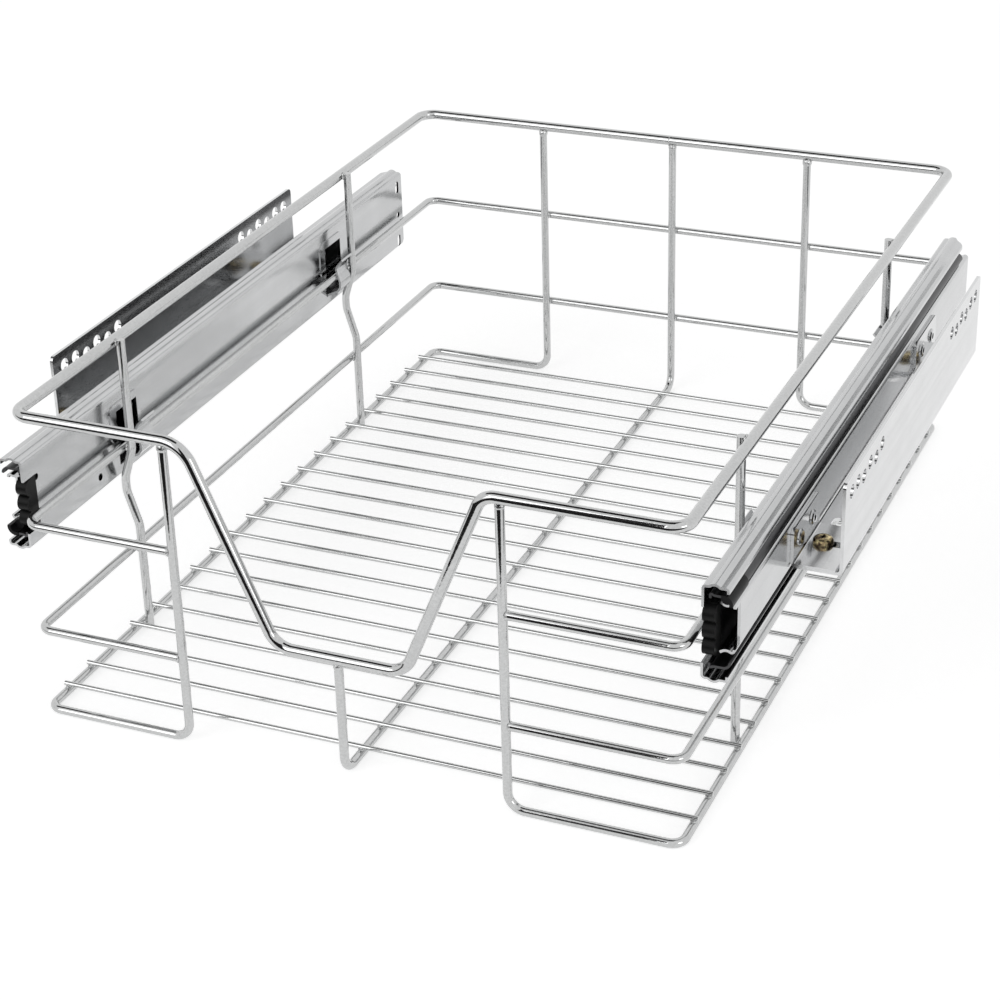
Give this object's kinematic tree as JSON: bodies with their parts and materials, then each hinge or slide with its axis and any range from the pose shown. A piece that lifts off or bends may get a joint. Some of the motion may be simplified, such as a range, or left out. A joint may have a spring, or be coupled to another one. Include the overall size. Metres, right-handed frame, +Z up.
{
  "type": "pull-out cabinet basket",
  "caption": "Chromed wire basket with a dipped front on full-extension ball-bearing slides with width-adjustable side mounting plates",
  "frame": {"origin": "centre of the footprint, on the surface that the base wires stand on", "axes": "+X to the right seen from the front, +Y into the cabinet, +Z up; the basket pulls out along -Y"},
  "size_m": [0.39, 0.4422, 0.1548],
  "materials": {
    "chrome_wire": "bright chrome plate",
    "slide_steel": "bright zinc plate",
    "cage_steel": "zinc plate, lightly oiled",
    "ball_steel": "polished bearing steel",
    "plate_steel": "bright zinc plate",
    "yellow_zinc": "yellow passivated zinc",
    "rubber": "black moulded rubber",
    "grey_plastic": "dark grey moulded plastic"
  },
  "bodies": {
    "cabinet_rails": {"left_cabinet_member": "slide_steel", "right_cabinet_member": "slide_steel", "left_front_bracket": "plate_steel", "left_rear_bracket": "plate_steel", "right_front_bracket": "plate_steel", "right_rear_bracket": "plate_steel", "left_bracket_rivets": "plate_steel", "right_bracket_rivets": "plate_steel"},
    "basket": {"top_rim": "chrome_wire", "upper_band_wire": "chrome_wire", "lower_band_wire": "chrome_wire", "left_base_wire": "chrome_wire", "right_base_wire": "chrome_wire", "centre_wire": "chrome_wire", "floor_wires": "chrome_wire", "left_front_side_wire": "chrome_wire", "left_rear_side_wire": "chrome_wire", "right_front_side_wire": "chrome_wire", "right_rear_side_wire": "chrome_wire", "left_drawer_member": "slide_steel", "right_drawer_member": "slide_steel", "left_front_bumper": "rubber", "right_front_bumper": "rubber"},
    "intermediates": {"left_intermediate_member": "slide_steel", "right_intermediate_member": "slide_steel", "left_race_end_clips": "grey_plastic", "right_race_end_clips": "grey_plastic"},
    "outer_cages": {"left_outer_ball_cage": "cage_steel", "right_outer_ball_cage": "cage_steel", "left_outer_balls": "ball_steel", "right_outer_balls": "ball_steel"},
    "inner_cages": {"left_inner_ball_cage": "cage_steel", "right_inner_ball_cage": "cage_steel", "left_inner_balls": "ball_steel", "right_inner_balls": "ball_steel"},
    "left_plate": {"left_mounting_plate": "plate_steel", "left_adjusting_screws": "yellow_zinc", "left_adjusting_nuts": "yellow_zinc"},
    "right_plate": {"right_mounting_plate": "plate_steel", "right_adjusting_screws": "yellow_zinc", "right_adjusting_nuts": "yellow_zinc"}
  },
  "joints": [
    {"name": "basket_slide", "type": "slide", "parent": "cabinet_rails", "child": "basket", "axis": [0, -1, 0], "range_m": [0, 0.4]},
    {"name": "intermediates_slide", "type": "slide", "parent": "cabinet_rails", "child": "intermediates", "axis": [0, -1, 0], "range_m": [0, 0.2]},
    {"name": "outer_cages_slide", "type": "slide", "parent": "cabinet_rails", "child": "outer_cages", "axis": [0, -1, 0], "range_m": [0, 0.3]},
    {"name": "inner_cages_slide", "type": "slide", "parent": "cabinet_rails", "child": "inner_cages", "axis": [0, -1, 0], "range_m": [0, 0.1]},
    {"name": "left_width_adjust", "type": "slide", "parent": "cabinet_rails", "child": "left_plate", "axis": [-1, 0, 0], "range_m": [0, 0.007]},
    {"name": "right_width_adjust", "type": "slide", "parent": "cabinet_rails", "child": "right_plate", "axis": [1, 0, 0], "range_m": [0, 0.007]}
  ],
  "couplings": [
    {"joint": "intermediates_slide", "follows": "basket_slide", "ratio": 0.5},
    {"joint": "outer_cages_slide", "follows": "basket_slide", "ratio": 0.75},
    {"joint": "inner_cages_slide", "follows": "basket_slide", "ratio": 0.25}
  ]
}
